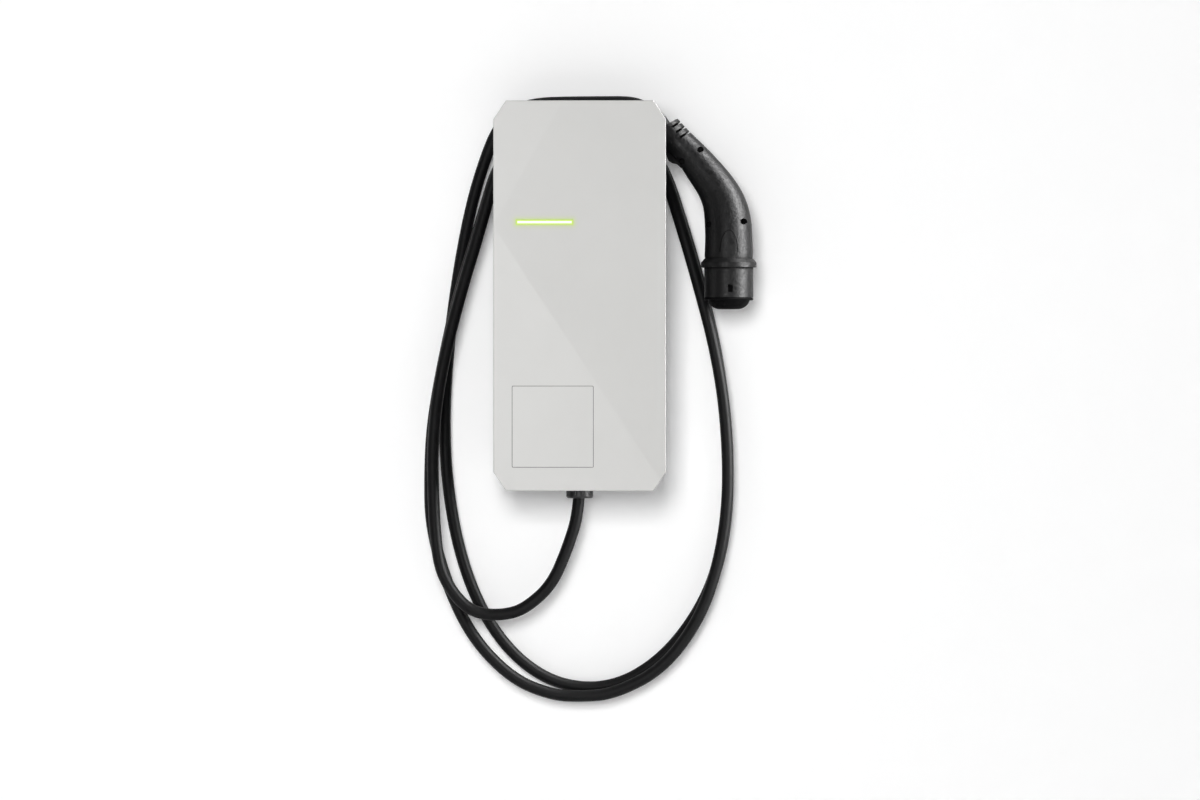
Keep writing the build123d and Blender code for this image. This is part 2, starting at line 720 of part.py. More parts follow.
power_x = power_from_side - board_width / 2
power_z = outlet_terminal_z + power_above_terminals
with BuildPart() as power_module:
    with BuildSketch(Plane.XZ.offset(board_face)):
        with Locations((power_x, power_z)):
            RectangleRounded(58, 46, 2)
    extrude(amount=24)
    with BuildSketch(Plane.XZ.offset(board_face + 24)):
        with Locations((power_x, power_z)):
            with GridLocations(6.5, 1, 8, 1):
                Rectangle(2.2, 42)
    extrude(amount=7)
power_module.part.label = "power_module"
export_step(power_module.part, "parts/power_module.step")

radio_x = board_width / 2 - radio_from_side
radio_z = outlet_terminal_z + radio_above_terminals
with BuildPart() as radio_module:
    with BuildSketch(Plane.XZ.offset(board_face)):
        with Locations((radio_x, radio_z)):
            Rectangle(44, 5)
    extrude(amount=8)
    with BuildSketch(Plane.XZ.offset(board_face + 8)):
        with Locations((radio_x, radio_z)):
            Rectangle(52, 1.6)
    extrude(amount=34)
    with BuildSketch(Plane.XZ.offset(board_face + 14)):
        with Locations((radio_x - 5, radio_z + 2.3)):
            Rectangle(26, 3)
    extrude(amount=22)
radio_module.part.label = "radio_module"
export_step(radio_module.part, "parts/radio_module.step")

# Small boards on the flange, behind the light bar and the square panel
small_board_depth = flange_front + small_standoff_height
with BuildPart() as status_board:
    with BuildSketch(Plane.XZ.offset(small_board_depth)):
        with Locations((light_x, light_z)):
            Rectangle(status_board_width, status_board_height)
        with Locations(*status_at):
            Circle(m3_hole_radius, mode=Mode.SUBTRACT)
    extrude(amount=board_thickness)
status_board.part.label = "status_board"
export_step(status_board.part, "parts/status_board.step")

with BuildPart() as status_lamps:
    with BuildSketch(Plane.XZ.offset(small_board_depth + board_thickness)):
        with Locations((light_x, light_z)):
            with GridLocations(light_width / led_count, 1, led_count, 1):
                Rectangle(led_size, led_size)
    extrude(amount=1.4)
status_lamps.part.label = "status_lamps"
export_step(status_lamps.part, "parts/status_lamps.step")

with BuildPart() as reader_board:
    with BuildSketch(Plane.XZ.offset(small_board_depth)):
        with Locations((panel_x, panel_z)):
            RectangleRounded(reader_size, reader_size, 3)
        with Locations(*reader_at):
            Circle(m3_hole_radius, mode=Mode.SUBTRACT)
    extrude(amount=board_thickness)
    with BuildSketch(Plane.XZ.offset(small_board_depth + board_thickness)):
        with Locations((panel_x + 8, panel_z - 20)):
            Rectangle(14, 14)
        with Locations((panel_x - 20, panel_z - 24)):
            Rectangle(18, 7)
    extrude(amount=3)
reader_board.part.label = "reader_board"
export_step(reader_board.part, "parts/reader_board.step")

with BuildPart() as small_board_screws:
    with BuildSketch(Plane.XZ.offset(small_board_depth + board_thickness)):
        with Locations(*reader_at, *status_at):
            Circle(m3_head_radius)
    extrude(amount=m3_head_height)
    with BuildSketch(Plane.XZ.offset(small_board_depth + board_thickness)):
        with Locations(*reader_at, *status_at):
            Circle(m3_shank_radius)
    extrude(amount=-m3_length)
small_board_screws.part.label = "small_board_screws"
export_step(small_board_screws.part, "parts/small_board_screws.step")

# Connector frame: u runs from the tail towards the nose, v is height, w faces the viewer
yaw = radians(connector_yaw)
handle_plane = Plane(
    origin=(nose_x, -nose_depth, connector_z),
    x_dir=(cos(yaw), -sin(yaw), 0),
    z_dir=(-sin(yaw), -cos(yaw), 0),
)
nose_axis = Axis((nose_x, -nose_depth, connector_z), (0, 0, 1))


def on_handle(u, v, w=0):
    """A point of the connector's frame, in the model's."""
    return handle_plane.from_local_coords(Vector(u, v, w))


def section_plane(u, v, angle):
    """A plane across the handle at (u, v); angle is the handle's slope below the horizontal."""
    ahead = on_handle(u + cos(radians(angle)), v - sin(radians(angle))) - on_handle(u, v)
    return Plane(origin=on_handle(u, v), x_dir=handle_plane.z_dir, z_dir=ahead)


# stations of the handle from the tail to the nose: u, v, slope, half width across, half depth
handle_stations = [
    (-tail_reach, tail_z, tail_angle, 18.4, 18.4),
    (-65.2, 198.4, 51.0, 20.0, 18.8),
    (-45.2, 177.8, 49.0, 20.9, 19.4),
    (-29.3, 157.8, 54.0, 23.3, 21.0),
    (-14.0, 136.0, 62.0, 25.6, 23.4),
    (-5.0, 115.0, 73.0, 28.4, 26.6),
    (-1.0, 93.0, 84.0, 30.2, 29.4),
    (0, 70.0, 89.0, 30.7, 30.5),
    (0, shell_end_z, 90.0, 30.7, 30.7),
]
tail_plane = section_plane(-tail_reach, tail_z, tail_angle)
handle_screws_at = [(-35.4, 188.3), (21.6, 95.1), (-59.3, 173.3), (-24.0, 91.5)]

with BuildPart() as handle_form:
    for u, v, slope, across, deep in handle_stations:
        with BuildSketch(section_plane(u, v, slope)):
            Ellipse(deep, across)
    loft()

with BuildPart() as handle_cavity:
    for u, v, slope, across, deep in handle_stations:
        with BuildSketch(section_plane(u, v, slope)):
            Ellipse(deep - shell_wall, across - shell_wall)
    loft()
    with BuildSketch(handle_plane.offset(-40)):
        with Locations(*handle_screws_at):
            Circle(screw_post_radius)
    extrude(amount=80, mode=Mode.SUBTRACT)
    # the tail stays solid round its bushing
    with BuildSketch(tail_plane.offset(-1)):
        Circle(30)
    extrude(amount=bushing_length + 2, mode=Mode.SUBTRACT)

# arch-shaped groove above the nose, as deep everywhere as the shell curves
with BuildPart() as arch_groove:
    with BuildSketch(handle_plane.offset(nose_radius / 2)):
        with BuildLine():
            EllipticalCenterArc(arch_foot, arch_half_width, arch_height, start_angle=0, arc_size=180)
        trace(line_width=arch_line)
    extrude(amount=nose_radius)
    for u, v, slope, across, deep in handle_stations:
        with BuildSketch(section_plane(u, v, slope)):
            Ellipse(deep - groove_depth, across - groove_depth)
    loft(mode=Mode.SUBTRACT)

with BuildPart() as handle_shell:
    add(handle_form.part)
    # the small hook on the inner side, just past the tail
    with BuildSketch(handle_plane.offset(-7)):
        with BuildLine():
            hook = FilletPolyline(
                (-77, 190), (-82.2, 184.5), (-77.8, 174.3), (-73, 171.2),
                (-67, 170), (-60, 163.5), (-56, 178),
                radius=1.5,
            )
            Line(hook @ 1, hook @ 0)
        make_face()
    extrude(amount=14)
    add(handle_cavity.part, mode=Mode.SUBTRACT)
    with BuildSketch(tail_plane.offset(-1)):
        Circle(bushing_radius + fit)
    extrude(amount=bushing_length + 3, mode=Mode.SUBTRACT)
    # relief slots across the outer side of the tail
    for place in (6.2, 14.8, 23.4):
        with BuildSketch(tail_plane.offset(place)):
            with Locations((0, -slot_reach / 2 - 7.5)):
                Rectangle(44, slot_reach)
        extrude(amount=slot_width / 2, both=True, mode=Mode.SUBTRACT)
    add(arch_groove.part, mode=Mode.SUBTRACT)
    # screw holes: wide for the head from the front, narrow through to the rear shell
    with BuildSketch(handle_plane.offset(6)):
        with Locations(*handle_screws_at):
            Circle(screw_well_radius)
    extrude(amount=34, mode=Mode.SUBTRACT)
    with BuildSketch(handle_plane.offset(-12)):
        with Locations(*handle_screws_at):
            Circle(m3_hole_radius)
    extrude(amount=20, mode=Mode.SUBTRACT)

with BuildPart() as handle_front_shell:
    add(handle_shell.part)
    split(bisect_by=handle_plane)
handle_front_shell.part.label = "handle_front_shell"
export_step(handle_front_shell.part, "parts/handle_front_shell.step")

with BuildPart() as handle_rear_shell:
    add(handle_shell.part)
    split(bisect_by=handle_plane, keep=Keep.BOTTOM)
handle_rear_shell.part.label = "handle_rear_shell"
export_step(handle_rear_shell.part, "parts/handle_rear_shell.step")

with BuildPart() as handle_screws:
    with BuildSketch(handle_plane.offset(6)):
        with Locations(*handle_screws_at):
            Circle(m4_head_radius - 0.2)
    extrude(amount=3)
    with BuildSketch(handle_plane.offset(6)):
        with Locations(*handle_screws_at):
            Circle(m3_shank_radius)
    extrude(amount=-17)
handle_screws.part.label = "handle_screws"
export_step(handle_screws.part, "parts/handle_screws.step")

# Rubber bushing in the tail, flared where the cable bends into it
with BuildPart() as cable_bushing:
    with BuildSketch(tail_plane):
        Circle(bushing_radius)
    extrude(amount=bushing_length)
    with BuildSketch(tail_plane):
        Circle(cable_radius + cable_fit)
    extrude(amount=bushing_length - bushing_floor, mode=Mode.SUBTRACT)
    with BuildSketch(tail_plane):
        Circle(cable_radius - 2)
    extrude(amount=bushing_length, mode=Mode.SUBTRACT)
    mouth_rims = cable_bushing.edges().filter_by(GeomType.CIRCLE).sort_by(Axis.Z)[-2:]
    mouth = mouth_rims.sort_by(SortBy.RADIUS)[0]
    fillet(mouth, radius=4)
cable_bushing.part.label = "cable_bushing"
export_step(cable_bushing.part, "parts/cable_bushing.step")

# Nose: collar, round shroud and the spigot that the shells close on
collar_bottom = shell_end_z - collar_height
with BuildPart() as nose_shroud:
    with BuildSketch(handle_plane):
        with BuildLine():
            Polyline(
                (carrier_radius + fit, shell_end_z + spigot_height),
                (nose_radius - nose_wall - 2, shell_end_z + spigot_height),
                (nose_radius - nose_wall - 2, shell_end_z - fit),
                (nose_radius, shell_end_z - fit),
                (collar_radius, shell_end_z - fit - collar_height * 0.45),
                (collar_radius, collar_bottom),
                (nose_radius, collar_bottom),
                (nose_radius, nose_end_z),
                (nose_radius - nose_wall, nose_end_z),
                (nose_radius - nose_wall, carrier_top_z - 10),
                (carrier_radius + fit, carrier_top_z - 10),
                close=True,
            )
        make_face()
    revolve(axis=nose_axis)
    with BuildSketch(handle_plane.offset(nose_radius - nose_wall - 3)):
        with Locations((latch_x, latch_z)):
            RectangleRounded(latch_width, latch_height, 1)
    extrude(amount=8, mode=Mode.SUBTRACT)
nose_shroud.part.label = "nose_shroud"
export_step(nose_shroud.part, "parts/nose_shroud.step")

# Contact carrier with seven wells: three and two power contacts, two signal contacts
power_at = [(-power_pitch, 0), (0, 0), (power_pitch, 0), (-power_pitch / 2, 14), (power_pitch / 2, 14)]
signal_at = [(-power_pitch / 2, -12.5), (power_pitch / 2, -12.5)]
carrier_plane = Plane(
    origin=(nose_x, -nose_depth, connector_z + nose_end_z + 1),
    x_dir=(cos(yaw), -sin(yaw), 0),
    z_dir=(0, 0, 1),
)
carrier_length = carrier_top_z - nose_end_z - 1
with BuildPart() as contact_carrier:
    with BuildSketch(carrier_plane):
        Circle(carrier_radius)
        with Locations(*power_at):
            Circle(power_sleeve_radius + fit, mode=Mode.SUBTRACT)
        with Locations(*signal_at):
            Circle(signal_sleeve_radius + fit, mode=Mode.SUBTRACT)
    extrude(amount=carrier_length)
contact_carrier.part.label = "contact_carrier"
export_step(contact_carrier.part, "parts/contact_carrier.step")

with BuildPart() as power_contacts:
    with BuildSketch(carrier_plane.offset(contact_recess)):
        with Locations(*power_at):
            Circle(power_sleeve_radius)
    extrude(amount=carrier_length)
    with BuildSketch(carrier_plane.offset(contact_recess)):
        with Locations(*power_at):
            Circle(power_bore_radius)
    extrude(amount=carrier_length * 0.6, mode=Mode.SUBTRACT)
power_contacts.part.label = "power_contacts"
export_step(power_contacts.part, "parts/power_contacts.step")

with BuildPart() as signal_contacts:
    with BuildSketch(carrier_plane.offset(2 * contact_recess)):
        with Locations(*signal_at):
            Circle(signal_sleeve_radius)
    extrude(amount=carrier_length - contact_recess)
    with BuildSketch(carrier_plane.offset(2 * contact_recess)):
        with Locations(*signal_at):
            Circle(signal_bore_radius)
    extrude(amount=carrier_length * 0.5, mode=Mode.SUBTRACT)
signal_contacts.part.label = "signal_contacts"
export_step(signal_contacts.part, "parts/signal_contacts.step")

# Protective cap: a ring that fills the shroud's gap, a bead and a flat-tipped dome
cap_top = nose_end_z - cap_gap
cap_ring_outer = nose_radius - nose_wall - cap_fit
with BuildPart() as protective_cap:
    with BuildSketch(handle_plane):
        with BuildLine():
            Polyline(
                (0, cap_top),
                (cap_ring_outer - cap_ring_wall, cap_top),
                (cap_ring_outer - cap_ring_wall, cap_top + cap_ring_length),
                (cap_ring_outer, cap_top + cap_ring_length),
                (cap_ring_outer, cap_top),
                (nose_radius, cap_top),
                (nose_radius, cap_top - cap_bead),
                (cap_dome_radius, cap_top - cap_bead),
            )
            ThreePointArc(
                (cap_dome_radius, cap_top - cap_bead),
                (cap_middle_radius, cap_top - cap_bead - cap_dome_height / 2),
                (cap_tip_radius, cap_top - cap_bead - cap_dome_height),
            )
            Polyline(
                (cap_tip_radius, cap_top - cap_bead - cap_dome_height),
                (0, cap_top - cap_bead - cap_dome_height),
                (0, cap_top),
            )
        make_face()
    revolve(axis=nose_axis)
    bead_edges = protective_cap.edges().filter_by(GeomType.CIRCLE).sort_by(SortBy.RADIUS)[-2:]
    fillet(bead_edges, radius=1.4)
protective_cap.part.label = "protective_cap"
export_step(protective_cap.part, "parts/protective_cap.step")

# Charging cable: out of the gland, round and over the saddle twice, and into the tail
tail_ahead = Vector(*tail_plane.z_dir)
tail_start = Vector(*tail_plane.origin)
cable_points = [
    (0, -45, -228), (0, -45, -276), (-17, -45, -331), (-35, -45, -377), (-69, -45, -405),
    (-111, -45, -413), (-152, -45, -397), (-179, -45, -362), (-187, -45, -317), (-190, -45, -260),
    (-191, -45, -197), (-185, -45, -127), (-170, -45, -55), (-151, -45, 16), (-130, -44, 85),
    (-106, -44, 174), (-72, -42, 212), (-25, -41, 233), (25, -40, 233), (72, -38, 212),
    (106, -36, 173), (134, -33, 85), (155, -30, 12), (175, -28.5, -64), (188, -28, -140),
    (193, -28, -214), (191, -28, -283), (179, -28, -352), (154, -28, -419), (107, -28, -482),
    (45, -28, -516), (-23, -28, -522), (-89, -28, -496), (-141, -28, -442), (-175, -28, -368),
    (-193, -28, -296), (-196, -28, -231), (-191, -28, -166), (-179, -28, -92), (-164, -28, -22),
    (-147, -28, 38), (-129, -28, 96), (-106, -27, 175), (-72, -25.5, 212), (-25, -24, 233),
    (25, -23, 233), (72, -21.5, 212), (108.5, -20, 173), (137, -17, 85), (158, -14, 12),
    (176.5, -12.5, -64), (188, -12, -140), (193, -12, -215), (192, -12, -284), (180, -12, -353),
    (153, -12, -417), (105, -12, -476), (43, -12, -509), (-24, -12, -507), (-80, -12, -474),
    (-125, -12, -416), (-156, -12, -338), (-173, -12, -245), (-177, -12, -154), (-170, -12, -53),
    (-157, -12, 40), (-142, -13.5, 117), (-126, -16, 172), (-107, -19, 217), (-68, -24, 249),
    (-10, -30.5, 252.8), (40, -37.5, 252.6), (72, -42, 249),
]
# the route was measured on a cover of 222 by 502, and spreads with it
widen = cover_width / 222
lengthen = cover_height / 502
cable_points = [Vector(x * widen, y, z * lengthen) for x, y, z in cable_points]
cable_points += [tail_start - tail_ahead * 15.8, tail_start + tail_ahead * (bushing_length - bushing_floor)]


def bend_radii(points):
    """The largest arc that each corner of the route has room for."""
    radii = []
    for before, corner, after in zip(points, points[1:], points[2:]):
        turn = (corner - before).get_angle(after - corner)
        shorter = min((corner - before).length, (after - corner).length)
        radii.append(0.45 * shorter / tan(radians(turn / 2)))
    return radii


cable_radii = bend_radii(cable_points)
with BuildPart() as charging_cable:
    with BuildLine() as cable_route:
        FilletPolyline(*cable_points, radius=cable_radii)
    with BuildSketch(Plane(origin=cable_points[0], z_dir=cable_points[1] - cable_points[0])):
        Circle(cable_radius)
    sweep()
charging_cable.part.label = "charging_cable"
export_step(charging_cable.part, "parts/charging_cable.step")

cable_length = cable_route.wires()[0].length
full_volume = pi * cable_radius ** 2 * cable_length
print("cable radii", [round(r) for r in cable_radii], "smallest", round(min(cable_radii), 1))
print("cable length", round(cable_length, 1))
print("volume over section times length", round(charging_cable.part.volume / full_volume, 5))
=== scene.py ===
# %% [markdown]
# # A wallbox with its cable wound round it
#
# The object is a charger for cars that hangs on a wall: a pale shell with three flat facets on its
# front, a dark spool-shaped body behind it, and a thick black cable that leaves through the floor,
# runs round the box twice and ends in a curved connector.
# The hard pieces come from the model as they are. This file adds what a mesh can't say: the cable as
# one smooth line, the finish of every surface, and a plain studio.

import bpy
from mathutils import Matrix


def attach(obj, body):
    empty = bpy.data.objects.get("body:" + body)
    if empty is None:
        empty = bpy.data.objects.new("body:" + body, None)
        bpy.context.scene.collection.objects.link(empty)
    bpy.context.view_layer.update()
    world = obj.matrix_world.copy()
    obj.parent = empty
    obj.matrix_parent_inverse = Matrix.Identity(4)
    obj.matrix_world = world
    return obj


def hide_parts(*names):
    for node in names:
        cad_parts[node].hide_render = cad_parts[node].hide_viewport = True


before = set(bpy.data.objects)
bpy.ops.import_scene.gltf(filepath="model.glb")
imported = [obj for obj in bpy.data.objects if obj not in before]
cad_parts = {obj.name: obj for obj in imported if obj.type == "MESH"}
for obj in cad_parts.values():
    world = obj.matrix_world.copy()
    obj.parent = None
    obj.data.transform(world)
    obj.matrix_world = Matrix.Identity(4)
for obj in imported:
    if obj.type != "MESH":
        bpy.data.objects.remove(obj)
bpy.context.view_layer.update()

# %% [markdown]
# ## The camera
#
# The photograph looks straight at the front. The cable, which lies 7 to 11 cm behind the front, is
# drawn nearly as large as the front itself, so the camera stood far away: about 8 m.
# A far camera needs a long lens. The picture is 1200 pixels wide and one pixel is 1.285 mm at the
# front, so the lens follows from those two numbers and the distance.

# %% Place the camera
import bpy
from math import radians

PICTURE_WIDTH = 1200
PIXEL = 0.001285
DISTANCE = 8.0
FRONT = 0.118
MIDDLE_X, MIDDLE_Z = 0.0262, -0.1342

lens = bpy.data.cameras.new("camera")
lens.lens = lens.sensor_width * DISTANCE / (PICTURE_WIDTH * PIXEL)
camera = bpy.data.objects.new("camera", lens)
camera.location = (MIDDLE_X, -FRONT - DISTANCE, MIDDLE_Z)
camera.rotation_euler = (radians(90), 0, 0)
bpy.context.scene.collection.objects.link(camera)
bpy.context.scene.camera = camera
print("lens, mm:", round(lens.lens, 1))

# %% [markdown]
# ## The cable's line
#
# A cable of this kind holds three to five power wires under a thick rubber jacket. It is stiff, so it
# makes wide even loops and no kinks. It could be simulated, but the photograph shows where it lies,
# so its line is given: one spline through the air with a control point about every hand's
# width. A NURBS spline suits it, because it passes near its points in smooth arcs. Its order is low,
# so where the points are unevenly spaced, short stretches still bend more tightly than the rest.
# The points start inside the gland, go round the box and over its saddle twice, and end inside the
# connector. Their depth from the wall tells which strand passes in front of which.

# %% List the points of the cable, in millimetres
CABLE_RADIUS = 0.0077
MM_PER_METRE = 1000
cable_points = [
    (0, -45, -228), (0, -45, -276), (-17, -45, -330), (-37, -45, -375), (-70, -45, -404),
    (-95, -45, -412.5), (-127, -45, -412.5), (-153, -45, -399.5), (-179, -45, -362),
    (-187, -45, -317), (-190, -45, -260),
    (-191, -45, -197), (-185, -45, -127), (-170, -45, -55), (-151, -45, 16), (-130, -44, 85),
    (-106, -44, 174), (-72, -42, 212), (-25, -41, 233), (25, -40, 233), (72, -38, 212),
    (106, -36, 173), (134, -33, 85), (155, -30, 12), (175, -28.5, -64), (188, -28, -140),
    (193, -28, -214), (191, -28, -283), (179, -28, -352), (155, -28, -420), (108, -28, -483.5),
    (45, -28, -516), (0, -28, -519.6), (-38, -28, -517), (-89, -28, -496),
    (-141, -28, -442), (-175, -28, -368),
    (-194, -28, -296), (-195, -28, -231), (-192, -28, -166), (-179, -28, -92), (-164, -28, -22),
    (-147, -28, 38), (-129, -28, 96), (-106, -27, 175), (-72, -25.5, 212), (-25, -24, 233),
    (25, -23, 233), (72, -21.5, 212), (108.5, -20, 173), (137, -17, 85), (158, -14, 12),
    (176.5, -12.5, -64), (188, -12, -140), (193, -12, -215), (192, -12, -284), (180, -12, -353),
    (152, -12, -416), (104, -12, -474.5), (43, -12, -509), (-24, -12, -507), (-80, -12, -474),
    (-125, -12, -416), (-156, -12, -338), (-173, -12, -245), (-177, -12, -154), (-170, -12, -53),
    (-157, -12, 40), (-142, -13.5, 117), (-126, -16, 172), (-108, -19, 218), (-86, -22, 240.5),
    (-60, -25.2, 251.3), (-14, -30.5, 252.6), (30, -36.5, 252.6), (61.7, -41, 252.6),
    (77.4, -43.6, 249), (91.9, -45.8, 241.9), (103.6, -47.8, 231.1), (114.8, -49.3, 215.5),
    (125.98, -50.9, 200),
]
print("control points:", len(cable_points))

# %% [markdown]
# ## The cable's body
#
# The jacket is a plain round tube, so the spline gets a bevel: a circle drawn along it. The circle is
# one metre wide and every point shrinks it to the cable's own radius, because Blender adds the
# points' radius to the curve's box. The spline's order is set after its points are there, because
# with no points it falls back to straight runs.

# %% Draw the cable
cable_curve = bpy.data.curves.new("charging_cable_line", "CURVE")
cable_curve.dimensions = "3D"
spline = cable_curve.splines.new("NURBS")
spline.points.add(len(cable_points) - 1)
for place, (x, y, z) in zip(spline.points, cable_points):
    place.co = (x / MM_PER_METRE, y / MM_PER_METRE, z / MM_PER_METRE, 1)
    place.radius = CABLE_RADIUS
spline.order_u = 3
spline.use_endpoint_u = True
spline.resolution_u = 10
cable_curve.bevel_depth = 1.0
cable_curve.bevel_resolution = 7
cable_curve.use_fill_caps = True
cable = bpy.data.objects.new("cable_jacket_line", cable_curve)
bpy.context.scene.collection.objects.link(cable)
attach(cable, "wallbox")
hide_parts("charging_cable")
print("cable drawn, points:", len(spline.points))

# %% [markdown]
# ## One recipe for moulded surfaces
#
# Nearly every piece is moulded, in plastic or rubber. Such a surface is never one flat colour: the
# mould leaves a fine grain, the shine changes a little from place to place, and so does the colour.
# One helper builds that from three noises of different size: a wide one for the colour, a middle one
# for the shine and a fine one for the grain, which is only bump. All of them read the object's own
# coordinates, in metres, so a size given here is the real size of a speck.
# Grooves and slots get painted shade. Where a piece has some, the recipe asks how much air there
# is at each spot, paints the spots with little of it dark, as shade would, and makes them matt.

# %% A helper for nodes
def add_node(material, kind, **values):
    """A new node, with its input values and settings filled in by name."""
    node = material.node_tree.nodes.new(kind)
    for name, value in values.items():
        if name in node.inputs:
            node.inputs[name].default_value = value
        else:
            setattr(node, name, value)
    return node


def speckle(material, size, detail=3.0, rough=0.55):
    """A noise with specks of that size in metres. Returns its output, from 0 to 1."""
    link = material.node_tree.links.new
    place = add_node(material, "ShaderNodeTexCoord")
    scale = add_node(material, "ShaderNodeMapping")
    scale.inputs["Scale"].default_value = [1 / size] * 3
    noise = add_node(material, "ShaderNodeTexNoise")
    noise.inputs["Scale"].default_value = 1.0
    noise.inputs["Detail"].default_value = detail
    noise.inputs["Roughness"].default_value = rough
    link(place.outputs["Object"], scale.inputs["Vector"])
    link(scale.outputs["Vector"], noise.inputs["Vector"])
    return noise.outputs["Fac"]


def spread(material, value, low, high, start=0.3, end=0.7):
    """The value from start to end, spread over low to high."""
    stretch = add_node(material, "ShaderNodeMapRange")
    stretch.inputs["From Min"].default_value = start
    stretch.inputs["From Max"].default_value = end
    stretch.inputs["To Min"].default_value = low
    stretch.inputs["To Max"].default_value = high
    material.node_tree.links.new(value, stretch.inputs["Value"])
    return stretch.outputs["Result"]


def maths(material, operation, first, second=0.0):
    """One step of arithmetic on outputs or numbers."""
    node = add_node(material, "ShaderNodeMath", operation=operation)
    for socket, value in zip(node.inputs, (first, second)):
        if isinstance(value, (int, float)):
            socket.default_value = value
        else:
            material.node_tree.links.new(value, socket)
    return node.outputs[0]


# %% A helper for colours that change, and one for the place on a piece
MIX_SHARE, MIX_A, MIX_B, MIX_RESULT = 0, 6, 7, 2


def mixed(material, share, first, second):
    """The first colour where share is 0 and the second where it is 1."""
    mix = add_node(material, "ShaderNodeMix", data_type="RGBA")
    link = material.node_tree.links.new
    link(share, mix.inputs[MIX_SHARE])
    for socket, colour in ((mix.inputs[MIX_A], first), (mix.inputs[MIX_B], second)):
        if isinstance(colour, (list, tuple)):
            socket.default_value = colour
        else:
            link(colour, socket)
    return mix.outputs[MIX_RESULT]


def from_bar_middle(material, axis, middle):
    """How far a point of the piece is from that middle, along one axis, in metres."""
    place = add_node(material, "ShaderNodeTexCoord")
    split = add_node(material, "ShaderNodeSeparateXYZ")
    material.node_tree.links.new(place.outputs["Object"], split.inputs[0])
    return maths(material, "ABSOLUTE", maths(material, "SUBTRACT", split.outputs[axis], middle))


# %% The moulded surface
GROOVE_CONTRAST = 3.0
GROOVE_SHADE = 0.04
GROOVE_SAMPLES = 8


def moulded(name, colour, shine, tint=0.06, tint_size=0.05, patch=0.05, patch_size=0.006,
            grain=0.00002, grain_size=0.0005, metal=0.0, specular=0.5, groove=0.0):
    """A moulded surface. colour is linear; shine is the roughness; tint and patch are how far the
    colour and the roughness wander; grain is the height of the fine bumps in metres; groove is how
    near another wall has to be for painted shade in a groove, in metres, or 0 for no painted shade."""
    material = bpy.data.materials.new(name)
    material.use_nodes = True
    shader = material.node_tree.nodes["Principled BSDF"]
    link = material.node_tree.links.new
    darker = [c * (1 - tint) for c in colour] + [1]
    lighter = [min(1, c * (1 + tint)) for c in colour] + [1]
    skin = mixed(material, spread(material, speckle(material, tint_size), 0, 1), darker, lighter)
    matt = spread(material, speckle(material, patch_size, 5), shine - patch, shine + patch)
    # Painted shade: spots with little open air round them get a darker colour and turn matt.
    if groove:
        near = add_node(material, "ShaderNodeAmbientOcclusion", samples=GROOVE_SAMPLES, Distance=groove)
        air = maths(material, "POWER", near.outputs["AO"], GROOVE_CONTRAST)
        skin = mixed(material, air, [c * GROOVE_SHADE for c in colour] + [1], skin)
        shiny = maths(material, "MULTIPLY", air, maths(material, "SUBTRACT", 1.0, matt))
        matt = maths(material, "SUBTRACT", 1.0, shiny)
    link(skin, shader.inputs["Base Color"])
    link(matt, shader.inputs["Roughness"])
    bump = add_node(material, "ShaderNodeBump", Distance=grain, Strength=1.0)
    link(speckle(material, grain_size, 2), bump.inputs["Height"])
    link(bump.outputs["Normal"], shader.inputs["Normal"])
    shader.inputs["Metallic"].default_value = metal
    shader.inputs["Specular IOR Level"].default_value = specular
    return material


def finish(material, *names):
    """Gives the material to those pieces of the model."""
    for name in names:
        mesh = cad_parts[name].data
        mesh.materials.clear()
        mesh.materials.append(material)
    print(material.name, "on", ", ".join(names))


# %% [markdown]
# ## The front cover
#
# The cover is moulded in a light, slightly warm grey with a fine satin texture. Its three facets are
# real planes of the model, so the light alone tells them apart. Round the light bar the shell gets a
# painted glow: a green emission and a green-yellow tint of its colour, standing in for the bar's
# light coming through the thin plastic. The glow depends on the distance to the bar, which plain maths
# nodes can work out from the place.

# %% Colours, given as they look on a screen
def from_screen(red, green, blue):
    """A colour of a screen, 0 to 255, as the linear numbers that a shader takes."""
    parts = [c / 255 for c in (red, green, blue)]
    return [p / 12.92 if p <= 0.04045 else ((p + 0.055) / 1.055) ** 2.4 for p in parts]


# %% The cover's shell
BAR_X, BAR_Z = -0.0451, 0.0944
BAR_WIDTH, BAR_HEIGHT = 0.072, 0.005
GLOW_REACH = 0.0021
GLOW_STRENGTH = 0.14
GLOW_GREEN = (0.1, 1, 0, 1)
LIT_SHELL = (0.53, 0.6, 0.06, 1)
EULER = 2.718


def distance_from_bar(material):
    """How far a point of the front is from the light bar's outline, in metres."""
    along = from_bar_middle(material, "X", BAR_X)
    across = from_bar_middle(material, "Z", BAR_Z)
    along = maths(material, "MAXIMUM", maths(material, "SUBTRACT", along, BAR_WIDTH / 2), 0.0)
    across = maths(material, "MAXIMUM", maths(material, "SUBTRACT", across, BAR_HEIGHT / 2), 0.0)
    along_squared = maths(material, "MULTIPLY", along, along)
    across_squared = maths(material, "MULTIPLY", across, across)
    return maths(material, "SQRT", maths(material, "ADD", along_squared, across_squared))


def satin_shell(name, tint_size):
    """The pale plastic that the cover and its panel share."""
    # groove paints shade into the narrow gap round the panel.
    return moulded(name, from_screen(204, 203.7, 201.5), 0.34, tint=0.012, tint_size=tint_size,
                   patch=0.04, patch_size=0.004, grain=0.00003, grain_size=0.0007, groove=0.004)


finish(satin_shell("panel_shell", tint_size=0.07), "blanking_panel")
shell = satin_shell("cover_shell", tint_size=0.09)
finish(shell, "front_cover")
